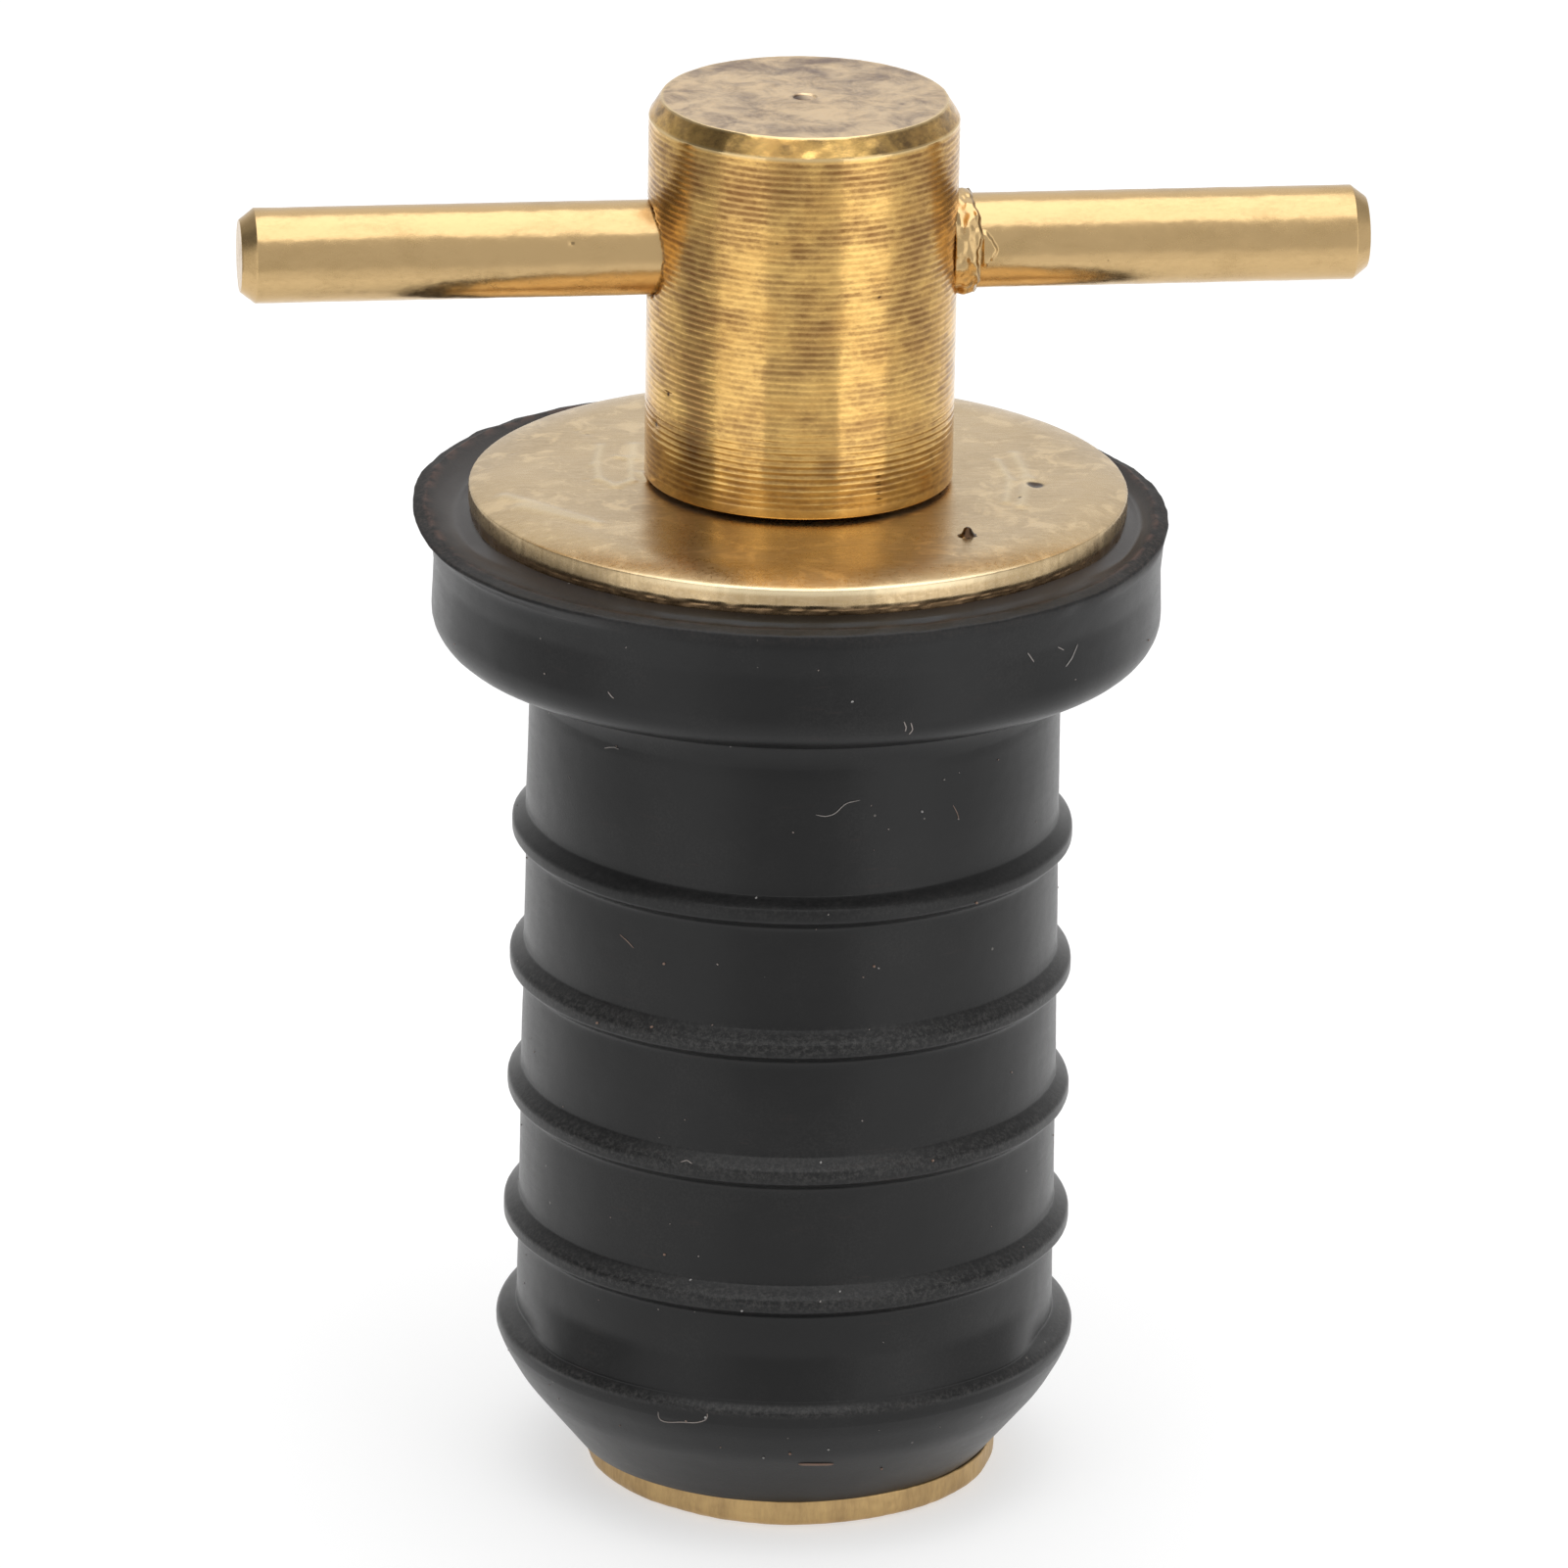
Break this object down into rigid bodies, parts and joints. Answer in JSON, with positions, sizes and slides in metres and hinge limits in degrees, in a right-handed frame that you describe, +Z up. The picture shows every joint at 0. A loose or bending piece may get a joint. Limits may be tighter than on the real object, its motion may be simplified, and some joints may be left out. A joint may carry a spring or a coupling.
{
  "type": "expanding drain plug",
  "caption": "Brass and rubber bung for a boat's drain tube: turning the T-handle draws the foot plate up and swells the ribbed sleeve until it seals.",
  "frame": {"origin": "on the plug's axis at the underside of the foot plate, on which it stands", "axes": "+Z up the plug's axis from the foot plate to the knob, +X along the handle bar at rest"},
  "size_m": [0.0496, 0.0332, 0.0638],
  "materials": {
    "rubber": "matt moulded rubber, dusty",
    "stamped_brass": "satin sheet brass, lightly tarnished",
    "turned_brass": "turned, with coarse feed marks",
    "drawn_brass": "drawn rod, satin",
    "threaded_brass": "machined thread"
  },
  "bodies": {
    "sleeve": {"rubber_sleeve": "rubber", "top_washer": "stamped_brass"},
    "screw": {"stud": "threaded_brass", "foot_plate": "stamped_brass"},
    "handle": {"knob": "turned_brass", "handle_bar": "drawn_brass"}
  },
  "joints": [
    {"name": "handle_turn", "type": "hinge", "parent": "sleeve", "child": "handle", "pos_m": [0, 0, 0.0465], "axis": [0, 0, -1], "range_deg": [0, 990]},
    {"name": "screw_lift", "type": "slide", "parent": "sleeve", "child": "screw", "axis": [0, 0, 1], "range_m": [0, 0.00344], "deforming": ["rubber_sleeve"]}
  ],
  "couplings": [
    {"joint": "screw_lift", "follows": "handle_turn", "m_per_rad": 0.00019894}
  ]
}
